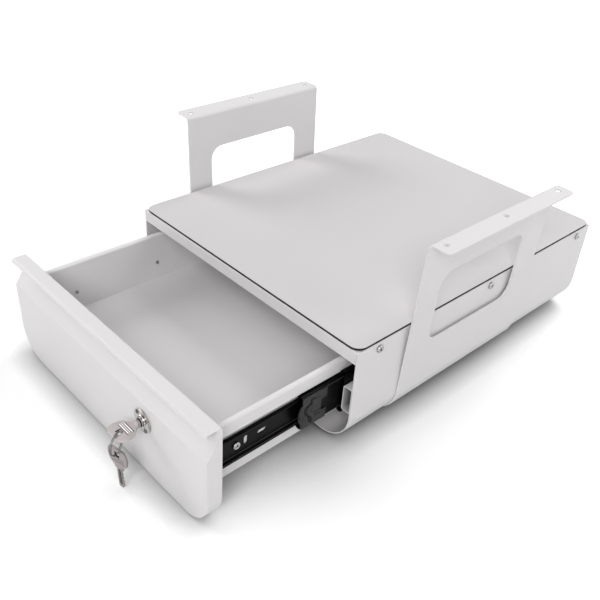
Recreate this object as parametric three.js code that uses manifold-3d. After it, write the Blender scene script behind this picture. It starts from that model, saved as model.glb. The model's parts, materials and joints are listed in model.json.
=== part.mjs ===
// Under desk drawer safe in millimetres: X runs across it, -Y is the way its drawer opens, and Z is up.
import * as THREE from "three";
import { mergeVertices } from "three/addons/utils/BufferGeometryUtils.js";
import Module from "manifold-3d";

const wasm = await Module();
wasm.setup();

// Shared by every piece: the gap at a seat, how far a cut runs past its piece, and the smoothness of curves
const seatGap = 0.3;
const overrun = 10;
const facetSag = 0.08;

// Housing: one folded sheet for the sides and bottom, closed by a cover pan and a rear panel
const housingWidth = 364;
const housingDepth = 435.5;
const housingHeight = 124.4;
const housingSheet = 1.5;
const housingBend = 38;
const coverFlange = 14.5;
const coverBend = 0.8;
const coverScrewFront = 32;
const coverScrewRear = 28.5;
const coverScrewDrop = 8.1;

// Pad on the cover
const padInset = 0.2;
const padCorner = 12;
const padCoreSheet = 2.2;
const padFaceSheet = 0.6;

// Hanger brackets
const bracketSheet = 2;
const bracketLength = 220;
const bracketStart = 72.5;
const bracketRise = 100.6;
const bracketLean = 0.04;
const bracketFlange = 25.3;
const bracketBend = 3;
const bracketCorner = 6;
const footReach = 34;
const windowFrontLeg = 34.5;
const windowRearLeg = 39.5;
const windowBottom = 91;
const windowTop = 178;
const windowCorner = 17;
const deskHoleRadius = 3.4;
const deskHoleEnds = 12.5;
const deskHoleEdge = 14;

// Ball bearing slides, each made of a cabinet rail, an intermediate rail and a drawer rail
const slideThickness = 12.7;
const slideDrop = 38.2;
const slideSetback = 2;
const railLength = 400;
const railSheet = 1.2;
const railBend = 0.8;
const drawerRailHeight = 31;
const drawerRailFlange = 6;
const railLip = 2;
const intermediateSetback = 24;
const intermediateFlange = 7;
const cabinetFlange = 6.9;
const ballRadius = 2;
const ballPlay = 0.15;
const webGap = 2.2;
const cageSheet = 0.8;
const cageLength = 180;
const cageSetback = 120;
const cageBalls = 5;
const cageEnd = 8;
const outerCageShare = 0.25;
const innerCageShare = 0.75;
const latchLength = 36;
const latchSheet = 1.6;
const latchInset = 1.5;
const latchSlit = 1.2;
const latchMouth = 7.5;
const latchMouthBend = 2;
const latchMouthShare = 0.38;
const latchLip = 5;
const latchLipBend = 3;
const latchLipShares = [-0.8, -0.2, 0.3, 0.58];
const slitAlongShares = [0.55, 0.39, 0.34, 0.2, 0.16, 0.19, 0.34, 0.38];
const slitUpShares = [0.63, 0.6, 0.4, 0.34, 0.13, -0.19, -0.48, -0.87];
const slitBend = 1.5;
const slotAlongShares = [0.5, 0.8];
const slotUpShare = -0.52;
const spacerDepth = 12;
const spacerHeight = 31.5;
const spacerDrop = 20;
const spacerSheet = 1.2;
const spacerBend = 1;

// Drawer tray
const drawerOpening = 157.5;
const closedGap = 1.5;
const traySheet = 1.2;
const trayLength = 405;
const trayHeadroom = 7.2;
const trayFloor = 41;
const skirtDrop = 10.7;
const rimReach = 5.4;
const rimLip = 15;
const rimBend = 1.2;

// Drawer fascia with its finger recess
const fasciaWidth = 352.8;
const fasciaDepth = 17;
const fasciaBottom = -1.5;
const fasciaDrop = 3.2;
const fasciaSheet = 1.2;
const fasciaBend = 37;
const foldHeight = 87.7;
const recessAngle = 0.609;
const lipHem = 5.2;
const foldBend = 0.8;

// Lock in the fascia
const lockAcross = 77.2;
const lockHeight = 66.2;
const rosetteRadius = 13.5;
const rosetteRim = 1.2;
const rosetteDome = 2.4;
const lockBodyRadius = 8;
const plugRadius = 5.2;
const plugPlay = 0.15;
const noseLength = 7.7;
const noseGroove = 0.7;
const grooveShares = [0.6, 0.55, 0.4, 0.35];
const keywayDepth = 26;
const tangSide = 6;
const camReach = 52;
const camWidth = 14;
const camSheet = 2;
const camPlay = 1;

// Keys on their ring
const keySheet = 2;
const bowWidth = 27.4;
const bowLength = 22.8;
const bowCorner = 6;
const bowShares = [[0.66, 0], [0.9, 0.14], [1, 0.45], [0.87, 0.77]];
const neckLength = 2.5;
const neckWidth = 10.8;
const bladeLength = 23.5;
const bladeWidth = 6.4;
const biteDepth = 1.4;
const biteCount = 4;
const bowMargin = 4.6;
const slotWidth = 6.4;
const slotLength = 6;
const slotCorner = 1;
const barLength = 16;
const barWidth = 1.4;
const barRaise = 0.4;
const barMiddle = 14.9;
const barSpacing = 4.1;
const ringRadius = 11.5;
const ringWire = 0.6;
const ringFlat = 1.8;
const ringShift = 2.4;
const ringYaw = 0.5236;
const spareYaw = 0.14;
const spareTilt = -0.07;
const ringSides = 8;
const ringSteps = 32;

// Screws: head radius, head height, shank radius, shank length
const coverScrew = { head: 4.45, rise: 2.4, shank: 2, length: 7 };
const footScrew = { head: 4, rise: 1.7, shank: 2, length: 5 };
const footScrewEnds = 30;
const footScrewEdge = 12;
const railScrew = { head: 4.2, rise: 2, shank: 1.9, length: 4.5 };
const railHoleFront = 28;
const railHoleRear = 151;
const crossSlotSetback = 39.7;
const crossSlotHeight = 10.5;
const longSlotSetback = 59.2;
const railSlotWidth = 4.6;
const slotRoundShare = 0.95;
const rosetteScrew = { head: 2.2, rise: 1, shank: 1.2, length: 5 };
const rosetteScrewAcross = 6.3;
const rosetteScrewUp = 8;
const camScrew = { head: 4.5, rise: 1.6, shank: 1.5, length: 5 };
const crownSteps = 3;
const domeSteps = 4;
const ballSides = 8;
const ballRows = 5;

// Finishes
const finishes = {
  paint: { color: 0xdcdbdc, roughness: 0.55, metalness: 0 },
  padFace: { color: 0xdddcdd, roughness: 0.7, metalness: 0 },
  padCore: { color: 0x151515, roughness: 0.8, metalness: 0 },
  railCoat: { color: 0x131313, roughness: 0.35, metalness: 0.6 },
  latchPlastic: { color: 0x3a3a3b, roughness: 0.5, metalness: 0 },
  brightSteel: { color: 0xb9b7b5, roughness: 0.3, metalness: 1 },
  chrome: { color: 0xd0cfcd, roughness: 0.15, metalness: 1 },
  keyNickel: { color: 0xb8b0b0, roughness: 0.35, metalness: 1 },
};
const materials = Object.fromEntries(
  Object.entries(finishes).map(([name, finish]) => [
    name,
    new THREE.MeshStandardMaterial({ ...finish, name, flatShading: true }),
  ]),
);

// Places that several pieces share
const trayTop = housingHeight - coverFlange - trayHeadroom;
const slideHeight = trayTop - slideDrop;
const spacerBottom = slideHeight - spacerDrop;
const traySkirt = trayFloor - skirtDrop;
const fasciaTop = housingHeight - fasciaDrop;
const outerHalf = housingWidth / 2;
const innerHalf = outerHalf - housingSheet;
const spacerInner = innerHalf - seatGap - spacerDepth;
const slideOuter = spacerInner - seatGap;
const slideInner = slideOuter - slideThickness;
const trayHalf = slideInner - seatGap;
const raceGap = 2 * (ballRadius + ballPlay);
const intermediateHeight = drawerRailHeight + 2 * (raceGap + railSheet);
const cabinetRailHeight = intermediateHeight + 2 * (raceGap + railSheet);
const intermediateOuter = slideOuter - railSheet - webGap;
const drawerBack = -closedGap - drawerOpening;
const coverTop = housingHeight;
const footTop = -seatGap;
const bendCentre = outerHalf - housingBend - housingSheet;

// Sheet and outline helpers

function arcSteps(radius, turn) {
  const step = 2 * Math.acos(1 - Math.min(facetSag / radius, 1));
  return Math.max(2, Math.ceil(Math.abs(turn) / step));
}

// Places with headings along a line through the corners, each [across, up, bend radius].
function fillet(corners, closed, widen = 0) {
  const count = corners.length;
  const points = corners.map(([across, up]) => new THREE.Vector2(across, up));
  const stations = [];
  points.forEach((point, i) => {
    const before = closed || i > 0 ? points[(i + count - 1) % count] : null;
    const after = closed || i < count - 1 ? points[(i + 1) % count] : null;
    const arrive = before && point.clone().sub(before).normalize();
    const leave = after && after.clone().sub(point).normalize();
    const radius = (corners[i][2] ?? 0) + widen;
    if (!arrive || !leave || radius === 0) {
      stations.push({ at: point, heading: (arrive ?? leave).angle() });
      return;
    }
    const turn = Math.atan2(arrive.cross(leave), arrive.dot(leave));
    const side = Math.sign(turn);
    const start = point.clone().addScaledVector(arrive, -radius * Math.tan(Math.abs(turn) / 2));
    const centre = start.clone().add(new THREE.Vector2(-arrive.y, arrive.x).multiplyScalar(side * radius));
    const steps = arcSteps(radius, turn);
    for (let k = 0; k <= steps; k += 1) {
      const heading = arrive.angle() + (turn * k) / steps;
      const out = new THREE.Vector2(Math.sin(heading), -Math.cos(heading)).multiplyScalar(side * radius);
      stations.push({ at: centre.clone().add(out), heading });
    }
  });
  return stations;
}

function outline(corners) {
  return new THREE.Shape(fillet(corners, true).map(({ at }) => at));
}

// A folded sheet seen end on: its corners lie on the middle of the sheet, with the inside bend radii.
function foldedSheet(corners, sheet) {
  const middle = fillet(corners, false, sheet / 2);
  const edge = (side) =>
    middle.map(({ at, heading }) => {
      const left = new THREE.Vector2(-Math.sin(heading), Math.cos(heading));
      return at.clone().addScaledVector(left, (side * sheet) / 2);
    });
  return new THREE.Shape([...edge(-1), ...edge(1).reverse()]);
}

function disc(across, up, radius) {
  const steps = arcSteps(radius, 2 * Math.PI);
  const points = Array.from({ length: steps }, (unused, k) => {
    const angle = (2 * Math.PI * k) / steps;
    return new THREE.Vector2(across + radius * Math.cos(angle), up + radius * Math.sin(angle));
  });
  return new THREE.Shape(points);
}

function rectangle([left, right], [bottom, top], corner = 0) {
  return outline([
    [left, bottom, corner],
    [right, bottom, corner],
    [right, top, corner],
    [left, top, corner],
  ]);
}

const unitX = new THREE.Vector3(1, 0, 0);
const unitY = new THREE.Vector3(0, 1, 0);
const unitZ = new THREE.Vector3(0, 0, 1);
const turned = {
  x: new THREE.Matrix4().makeBasis(unitY, unitZ, unitX),
  y: new THREE.Matrix4().makeBasis(unitX, unitZ, unitY.clone().negate()),
  z: new THREE.Matrix4(),
};

// Extrudes a section along an axis: (Y, Z) sections along x, (X, Z) along y and (X, Y) along z.
function extrude(shape, axis, [from, to]) {
  const geometry = new THREE.ExtrudeGeometry(shape, { depth: to - from, bevelEnabled: false });
  geometry.translate(0, 0, axis === "y" ? -to : from);
  return geometry.applyMatrix4(turned[axis]);
}

function block(x, y, z) {
  return extrude(rectangle(x, y), "z", z);
}

// Joins and cuts

function toSolid(geometry) {
  const bare = geometry.clone();
  bare.deleteAttribute("normal");
  bare.deleteAttribute("uv");
  const merged = mergeVertices(bare);
  return new wasm.Manifold(
    new wasm.Mesh({
      numProp: 3,
      vertProperties: merged.attributes.position.array,
      triVerts: Uint32Array.from(merged.index.array),
    }),
  );
}

function toGeometry(solid) {
  const { vertProperties, triVerts } = solid.getMesh();
  const geometry = new THREE.BufferGeometry();
  geometry.setAttribute("position", new THREE.BufferAttribute(vertProperties, 3));
  geometry.setIndex(new THREE.BufferAttribute(triVerts, 1));
  return geometry;
}

function build(base, { join = [], cut = [] } = {}) {
  let solid = toSolid(base);
  for (const piece of join) solid = solid.add(toSolid(piece));
  for (const piece of cut) solid = solid.subtract(toSolid(piece));
  return toGeometry(solid);
}

function place(group, name, geometry, material) {
  const mesh = new THREE.Mesh(geometry, materials[material]);
  mesh.name = name;
  group.add(mesh);
  return mesh;
}

// Screws, each turned from a profile, with the underside of a pan head or the face of a flat head at zero

function panScrew({ head, rise, shank, length }) {
  const crown = new THREE.EllipseCurve(0, rise / 3, head, (2 * rise) / 3, 0, Math.PI / 2);
  const profile = [
    new THREE.Vector2(0, -length),
    new THREE.Vector2(shank, -length),
    new THREE.Vector2(shank, 0),
    new THREE.Vector2(head, 0),
    ...crown.getPoints(crownSteps),
  ];
  profile[profile.length - 1].x = 0;
  return new THREE.LatheGeometry(profile, arcSteps(head, 2 * Math.PI));
}

function flatScrew({ head, rise, shank, length }, clearance = 0) {
  const profile = [
    [0, -length],
    [shank + clearance, -length],
    [shank + clearance, -rise],
    [head + clearance, 0],
    [head + clearance, clearance],
    [0, clearance],
  ].map(([radius, height]) => new THREE.Vector2(radius, height));
  return new THREE.LatheGeometry(profile, arcSteps(head, 2 * Math.PI));
}

// Housing

const rearmostScrew = housingDepth - coverScrewRear;
const coverScrewPlaces = [coverScrewFront, (coverScrewFront + rearmostScrew) / 2, rearmostScrew];

function coverScrewHoles() {
  const radius = coverScrew.shank + seatGap;
  return coverScrewPlaces.flatMap((y) =>
    [-1, 1].map((side) => {
      const edge = side * (outerHalf + overrun);
      const deep = side * (innerHalf - overrun);
      const span = [Math.min(edge, deep), Math.max(edge, deep)];
      return extrude(disc(y, housingHeight - coverScrewDrop, radius), "x", span);
    }),
  );
}

const footScrewAcross = bendCentre - footReach + footScrewEdge;
const footScrewPlaces = [bracketStart + footScrewEnds, bracketStart + bracketLength - footScrewEnds];

function housingShell() {
  const half = outerHalf - housingSheet / 2;
  const section = foldedSheet(
    [
      [-half, housingHeight],
      [-half, housingSheet / 2, housingBend],
      [half, housingSheet / 2, housingBend],
      [half, housingHeight],
    ],
    housingSheet,
  );
  const footHoles = footScrewPlaces.flatMap((y) =>
    [-1, 1].map((side) =>
      extrude(disc(side * footScrewAcross, y, footScrew.shank + seatGap), "z", [-overrun, overrun]),
    ),
  );
  return build(extrude(section, "y", [0, housingDepth]), { cut: [...coverScrewHoles(), ...footHoles] });
}

function rearPanel() {
  const half = innerHalf - seatGap;
  const section = outline([
    [-half, housingSheet + seatGap, housingBend - seatGap],
    [half, housingSheet + seatGap, housingBend - seatGap],
    [half, housingHeight - housingSheet - seatGap],
    [-half, housingHeight - housingSheet - seatGap],
  ]);
  const inside = coverFlange + seatGap;
  const notch = (side) => {
    const span = [half - housingSheet - seatGap, half + overrun].map((x) => side * x).sort((a, b) => a - b);
    return block(span, [0, housingDepth + overrun], [housingHeight - inside, housingHeight]);
  };
  const plate = extrude(section, "y", [housingDepth - housingSheet, housingDepth]);
  return build(plate, { cut: [notch(-1), notch(1)] });
}

function topCover() {
  const half = innerHalf - seatGap - housingSheet / 2;
  const plate = coverTop - housingSheet / 2;
  const across = foldedSheet(
    [
      [-half, housingHeight - coverFlange],
      [-half, plate, coverBend],
      [half, plate, coverBend],
      [half, housingHeight - coverFlange],
    ],
    housingSheet,
  );
  const front = foldedSheet(
    [
      [housingSheet / 2, housingHeight - coverFlange],
      [housingSheet / 2, plate, coverBend],
      [housingDepth / 2, plate],
    ],
    housingSheet,
  );
  return build(extrude(across, "y", [housingSheet, housingDepth]), {
    join: [extrude(front, "x", [-half - housingSheet / 2, half + housingSheet / 2])],
    cut: coverScrewHoles(),
  });
}

function padLayer(bottom, sheet) {
  const half = outerHalf - padInset;
  const shape = rectangle([-half, half], [padInset, housingDepth - padInset], padCorner);
  return extrude(shape, "z", [bottom, bottom + sheet]);
}

// Brackets: the plate leans outward from the housing's lower bend up to the desk flange

const bracketTop = housingHeight + bracketRise;
const footMiddle = footTop - bracketSheet / 2;
const footTurn = Math.PI / 2 - bracketLean;
const footBend = housingBend + housingSheet + seatGap;
const footCorner = bendCentre + (footBend + bracketSheet / 2) * Math.tan(footTurn / 2);
const bracketHead = footCorner + (bracketTop - bracketSheet / 2 - footMiddle) * Math.tan(bracketLean);
const flangeTip = bracketHead - bracketSheet / 2 + bracketFlange;

function hangerBracket() {
  const section = foldedSheet(
    [
      [bendCentre - footReach, footMiddle],
      [footCorner, footMiddle, footBend],
      [bracketHead, bracketTop - bracketSheet / 2, bracketBend],
      [flangeTip, bracketTop - bracketSheet / 2],
    ],
    bracketSheet,
  );
  const ends = [bracketStart, bracketStart + bracketLength];
  const opening = rectangle(
    [ends[0] + windowFrontLeg, ends[1] - windowRearLeg],
    [windowBottom, windowTop],
    windowCorner,
  );
  const holeSpan = [bracketTop - overrun, bracketTop + overrun];
  const holeAcross = flangeTip - deskHoleEdge;
  const holes = [ends[0] + deskHoleEnds, (ends[0] + ends[1]) / 2, ends[1] - deskHoleEnds].map((y) =>
    extrude(disc(holeAcross, y, deskHoleRadius), "z", holeSpan),
  );
  const sinks = footScrewPlaces.map((y) =>
    flatScrew(footScrew, seatGap)
      .rotateX(-Math.PI / 2)
      .translate(footScrewAcross, y, footTop - bracketSheet),
  );
  const trims = ends.map((y, i) => {
    const inward = i === 0 ? 1 : -1;
    const square = block(
      [flangeTip - bracketCorner, flangeTip + overrun],
      [y - inward * overrun, y + inward * bracketCorner].sort((a, b) => a - b),
      holeSpan,
    );
    const round = extrude(disc(flangeTip - bracketCorner, y + inward * bracketCorner, bracketCorner), "z", [
      bracketTop - 2 * overrun,
      bracketTop + 2 * overrun,
    ]);
    return build(square, { cut: [round] });
  });
  return build(extrude(section, "y", ends), {
    cut: [extrude(opening, "x", [outerHalf - overrun, flangeTip + overrun]), ...holes, ...sinks, ...trims],
  });
}

// Slides, drawn for the right side: C sections about the slide's middle height, open towards the drawer

function railSection({ web, flange, height, lip, open }) {
  const half = height / 2 - railSheet / 2;
  const middle = web - (open * railSheet) / 2;
  const tip = web - open * (flange - railSheet / 2);
  const upper = [[tip, slideHeight + half, railBend], [middle, slideHeight + half, railBend]];
  const lower = [[middle, slideHeight - half, railBend], [tip, slideHeight - half, railBend]];
  if (lip > 0) {
    upper.unshift([tip, slideHeight + half - lip]);
    lower.push([tip, slideHeight - half + lip]);
  }
  return foldedSheet([...upper, ...lower], railSheet);
}

function cabinetRail() {
  const section = railSection({
    web: slideOuter, flange: cabinetFlange, height: cabinetRailHeight, lip: railLip, open: 1,
  });
  return extrude(section, "y", [slideSetback, slideSetback + railLength]);
}

const intermediateStart = slideSetback + intermediateSetback - drawerOpening / 2;

function intermediateRail() {
  const section = railSection({
    web: intermediateOuter, flange: intermediateFlange, height: intermediateHeight, lip: railLip, open: 1,
  });
  return extrude(section, "y", [intermediateStart, intermediateStart + railLength - intermediateSetback]);
}

const drawerRailStart = closedGap + slideSetback;

function drawerRail() {
  const section = railSection({
    web: slideInner, flange: drawerRailFlange, height: drawerRailHeight, lip: 0, open: -1,
  });
  const through = [slideInner - overrun / 2, slideInner + overrun / 2];
  const slot = (y, length, height) =>
    extrude(
      rectangle(
        [y - length / 2, y + length / 2],
        [slideHeight - height / 2, slideHeight + height / 2],
        (slotRoundShare * railSlotWidth) / 2,
      ),
      "x",
      through,
    );
  return build(extrude(section, "y", [drawerRailStart, drawerRailStart + railLength]), {
    cut: [
      ...[railHoleFront, railHoleRear].map((y) =>
        extrude(disc(drawerRailStart + y, slideHeight, railScrew.shank + seatGap), "x", through),
      ),
      slot(drawerRailStart + crossSlotSetback, railSlotWidth, crossSlotHeight),
      slot(drawerRailStart + longSlotSetback, crossSlotHeight, railSlotWidth),
    ],
  });
}

// The latch plate on the front of the intermediate rail, with a rounded lip, a mouth at its rear and a spring
// tongue freed by a curved slit
function railEndLatch() {
  const face = intermediateOuter + seatGap;
  const half = intermediateHeight / 2 - latchInset;
  const front = intermediateStart;
  const rear = front + latchLength;
  const mouth = latchMouthShare * half;
  const [lipBottom, lipLower, lipUpper, lipTop] = latchLipShares.map((share) => slideHeight + share * half);
  const plate = outline([
    [front, slideHeight - half],
    [rear, slideHeight - half],
    [rear, slideHeight - mouth],
    [rear - latchMouth, slideHeight - mouth, latchMouthBend],
    [rear - latchMouth, slideHeight + mouth, latchMouthBend],
    [rear, slideHeight + mouth],
    [rear, slideHeight + half],
    [front, slideHeight + half],
    [front, lipTop],
    [front - latchLip, lipUpper, latchLipBend],
    [front - latchLip, lipLower, latchLipBend],
    [front, lipBottom],
  ]);
  const slit = foldedSheet(
    slitAlongShares.map((along, i) => [
      front + along * latchLength,
      slideHeight + slitUpShares[i] * half,
      i > 0 && i < slitAlongShares.length - 1 ? slitBend : 0,
    ]),
    latchSlit,
  );
  const slotBottom = slideHeight + slotUpShare * half;
  const slot = rectangle(
    slotAlongShares.map((along) => front + along * latchLength),
    [slotBottom, slotBottom + latchSlit],
  );
  const through = [face - overrun, face + overrun];
  return build(extrude(plate, "x", [face, face + latchSheet]), {
    cut: [extrude(slit, "x", through), extrude(slot, "x", through)],
  });
}

// A ball cage: a strip between two rails that carries a row of balls in each of its races
function ballCage({ strip, ballAcross, raceHeight, share }) {
  const start = cageSetback - share * drawerOpening;
  const base = block(
    [strip, strip + cageSheet],
    [start, start + cageLength],
    [slideHeight - raceHeight, slideHeight + raceHeight],
  );
  const balls = [-1, 1].flatMap((side) =>
    Array.from({ length: cageBalls }, (unused, k) => {
      const y = start + cageEnd + (k * (cageLength - 2 * cageEnd)) / (cageBalls - 1);
      const ball = new THREE.SphereGeometry(ballRadius, ballSides, ballRows);
      return ball.translate(ballAcross, y, slideHeight + side * raceHeight);
    }),
  );
  return build(base, { join: balls });
}

function outerBallCage() {
  return ballCage({
    strip: intermediateOuter + (webGap - cageSheet) / 2,
    ballAcross: slideOuter - railSheet - ballRadius - seatGap,
    raceHeight: intermediateHeight / 2 + ballRadius + ballPlay,
    share: outerCageShare,
  });
}

function innerBallCage() {
  const tip = slideInner + drawerRailFlange;
  const web = intermediateOuter - railSheet;
  return ballCage({
    strip: (tip + web - cageSheet) / 2,
    ballAcross: web - ballRadius - seatGap,
    raceHeight: drawerRailHeight / 2 + ballRadius + ballPlay,
    share: innerCageShare,
  });
}

function slideSpacer() {
  const x = [spacerInner, spacerInner + spacerDepth];
  const z = [spacerBottom, spacerBottom + spacerHeight];
  const wall = (span) => [span[0] + spacerSheet, span[1] - spacerSheet];
  const section = rectangle(x, z, spacerBend + spacerSheet);
  section.holes.push(rectangle(wall(x), wall(z), spacerBend));
  return extrude(section, "y", [slideSetback / 2, slideSetback + railLength]);
}

// Drawer, drawn from the back plane of its fascia

const rosetteSeat = -fasciaDepth;
const rosetteScrewPlaces = [
  [-rosetteScrewAcross, rosetteScrewUp],
  [rosetteScrewAcross, -rosetteScrewUp],
];
const camFront = closedGap + housingSheet + camPlay;

function drawerTray() {
  const wall = trayHalf - traySheet / 2;
  const rim = trayTop - traySheet / 2;
  const rimTip = wall + rimReach;
  const side = (hand) =>
    extrude(
      foldedSheet(
        [
          [hand * wall, traySkirt],
          [hand * wall, rim, rimBend],
          [hand * rimTip, rim, rimBend],
          [hand * rimTip, trayTop - rimLip],
        ],
        traySheet,
      ),
      "y",
      [seatGap, seatGap + trayLength],
    );
  const end = (y) => block([-wall, wall], [y, y + traySheet], [trayFloor - traySheet, trayTop]);
  const floor = block([-wall, wall], [seatGap, seatGap + trayLength], [trayFloor - traySheet, trayFloor]);
  const screwHole = (hand, y) => {
    const span = [wall - overrun / 2, wall + overrun / 2].map((x) => hand * x).sort((a, b) => a - b);
    return extrude(disc(drawerRailStart + y, slideHeight, railScrew.shank + seatGap), "x", span);
  };
  return build(side(1), {
    join: [side(-1), floor, end(seatGap), end(seatGap + trayLength - traySheet)],
    cut: [
      screwHole(1, railHoleFront),
      screwHole(-1, crossSlotSetback),
      screwHole(1, railHoleRear),
      screwHole(-1, railHoleRear),
      extrude(disc(lockAcross, lockHeight, lockBodyRadius + seatGap), "y", [-overrun, overrun]),
    ],
  });
}

function drawerFascia() {
  const half = fasciaWidth / 2;
  const front = -fasciaDepth;
  const pan = (inset) =>
    outline([
      [-half + inset, fasciaBottom + inset, fasciaBend - inset],
      [half - inset, fasciaBottom + inset, fasciaBend - inset],
      [half - inset, fasciaTop + inset],
      [-half + inset, fasciaTop + inset],
    ]);
  const slope = Math.tan(recessAngle);
  const across = [-half - overrun, half + overrun];
  const recess = new THREE.Shape([
    new THREE.Vector2(front - overrun, foldHeight),
    new THREE.Vector2(front, foldHeight),
    new THREE.Vector2(overrun, foldHeight + (overrun - front) / slope),
    new THREE.Vector2(front - overrun, foldHeight + (overrun - front) / slope),
  ]);
  const face = front + fasciaSheet / 2;
  const rear = -fasciaSheet / 2;
  const lip = fasciaTop - fasciaSheet / 2;
  const hook = foldedSheet(
    [
      [face, foldHeight - lipHem],
      [face, foldHeight, foldBend],
      [rear, foldHeight + (rear - face) / slope, foldBend],
      [rear, lip, foldBend],
      [face, lip, foldBend],
      [face, fasciaTop - lipHem],
    ],
    fasciaSheet,
  );
  const holes = [
    extrude(disc(lockAcross, lockHeight, lockBodyRadius + seatGap), "y", [front - overrun, 0]),
    ...rosetteScrewPlaces.map(([x, z]) =>
      extrude(disc(lockAcross + x, lockHeight + z, rosetteScrew.shank + seatGap), "y", [front - overrun, 0]),
    ),
  ];
  const folded = build(extrude(pan(0), "y", [front, 0]), {
    cut: [extrude(pan(fasciaSheet), "y", [front + fasciaSheet, overrun]), extrude(recess, "x", across)],
  });
  return build(folded, { join: [extrude(hook, "x", [-half, half])], cut: holes });
}

// Lock, drawn from the centre of the fascia's face

const bodyRear = fasciaDepth + camFront - 2 * seatGap;

function lockBody() {
  const bore = plugRadius + plugPlay;
  const dome = [rosetteRadius - bore, rosetteDome - rosetteRim];
  const crown = new THREE.EllipseCurve(bore, -seatGap - rosetteRim, ...dome, 0, -Math.PI / 2, true);
  const profile = [
    new THREE.Vector2(bore, bodyRear),
    new THREE.Vector2(lockBodyRadius, bodyRear),
    new THREE.Vector2(lockBodyRadius, -seatGap),
    new THREE.Vector2(rosetteRadius, -seatGap),
    ...crown.getPoints(domeSteps),
    new THREE.Vector2(bore, bodyRear),
  ].reverse();
  const holes = rosetteScrewPlaces.flatMap(([x, z]) => [
    extrude(disc(x, z, rosetteScrew.shank + seatGap), "y", [-overrun, overrun]),
    extrude(disc(x, z, rosetteScrew.head + seatGap), "y", [-overrun, -seatGap - rosetteRim]),
  ]);
  return build(new THREE.LatheGeometry(profile, arcSteps(rosetteRadius, 2 * Math.PI)), { cut: holes });
}

function lockPlug() {
  const [grooveFront, floorFront, floorBack, grooveBack] = grooveShares.map((share) => -share * noseLength);
  const profile = [
    [0, -noseLength],
    [plugRadius - noseGroove, -noseLength],
    [plugRadius, -noseLength + noseGroove],
    [plugRadius, grooveFront],
    [plugRadius - noseGroove, floorFront],
    [plugRadius - noseGroove, floorBack],
    [plugRadius, grooveBack],
    [plugRadius, bodyRear + seatGap],
    [0, bodyRear + seatGap],
  ].map(([r, y]) => new THREE.Vector2(r, y));
  const tang = tangSide / 2;
  const camEnd = fasciaDepth + camFront + camSheet;
  const keyway = block(
    [-bladeWidth / 2 - seatGap, bladeWidth / 2 + seatGap],
    [-noseLength - overrun, -noseLength + keywayDepth],
    [-keySheet / 2 - seatGap, keySheet / 2 + seatGap],
  );
  const thread = [camEnd - camScrew.length - seatGap, camEnd + overrun];
  return build(new THREE.LatheGeometry(profile, arcSteps(plugRadius, 2 * Math.PI)), {
    join: [block([-tang, tang], [bodyRear, camEnd], [-tang, tang])],
    cut: [keyway, extrude(disc(0, 0, camScrew.shank + seatGap), "y", thread)],
  });
}

function lockCam() {
  const half = camWidth / 2;
  const hole = tangSide / 2 + seatGap;
  const plate = rectangle([-camReach, half], [-half, half], half - seatGap);
  const front = fasciaDepth + camFront;
  return build(extrude(plate, "y", [front, front + camSheet]), {
    cut: [block([-hole, hole], [front - overrun, front + overrun], [-hole, hole])],
  });
}

// A key lying flat, drawn from the tip of its bow with the blade towards +Y
function doorKey() {
  const half = bowWidth / 2;
  const neck = bowLength + neckLength;
  const edge = [
    ...bowShares.map(([across, along]) => [across * half, along * bowLength, bowCorner]),
    [neckWidth / 2, bowLength],
    [neckWidth / 2, neck],
  ];
  const mirrored = edge.map(([x, y, bend]) => [-x, y, bend]).reverse();
  const bow = outline([...edge, ...mirrored]);
  const blade = bladeWidth / 2;
  const flat = [-keySheet / 2, keySheet / 2];
  const bite = bladeLength / (2 * biteCount + 2);
  const bites = Array.from({ length: biteCount }, (unused, k) => {
    const y = neck + bladeLength - (2 * k + 2) * bite;
    return extrude(
      new THREE.Shape([
        new THREE.Vector2(blade + biteDepth, y - bite),
        new THREE.Vector2(blade - biteDepth, y),
        new THREE.Vector2(blade + biteDepth, y + bite),
      ]),
      "z",
      [-keySheet, keySheet],
    );
  });
  const tip = rectangle([-blade, blade], [neck - neckLength, neck + bladeLength], blade / 2);
  const slot = rectangle(
    [-slotWidth / 2, slotWidth / 2],
    [bowMargin, bowMargin + slotLength],
    slotCorner,
  );
  const bars = [-1, 1].map((side) => {
    const y = barMiddle + (side * barSpacing) / 2;
    const raised = keySheet / 2 + barRaise;
    return block([-barLength / 2, barLength / 2], [y - barWidth / 2, y + barWidth / 2], [-raised, raised]);
  });
  return build(extrude(bow, "z", flat), {
    join: [extrude(tip, "z", flat), ...bars],
    cut: [extrude(slot, "z", [-keySheet, keySheet]), ...bites],
  });
}

// Assembly

const safe = new THREE.Group();
const content = new THREE.Group();
safe.add(content);

place(content, "housing_shell", housingShell(), "paint");
place(content, "rear_panel", rearPanel(), "paint");
place(content, "top_cover", topCover(), "paint");
const padBottom = coverTop + seatGap;
place(content, "shelf_pad_core", padLayer(padBottom, padCoreSheet), "padCore");
place(content, "shelf_pad", padLayer(padBottom + padCoreSheet + seatGap, padFaceSheet), "padFace");

const drawer = new THREE.Group();
drawer.position.y = drawerBack;
content.add(drawer);
place(drawer, "drawer_tray", drawerTray(), "paint");
place(drawer, "drawer_fascia", drawerFascia(), "paint");

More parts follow.
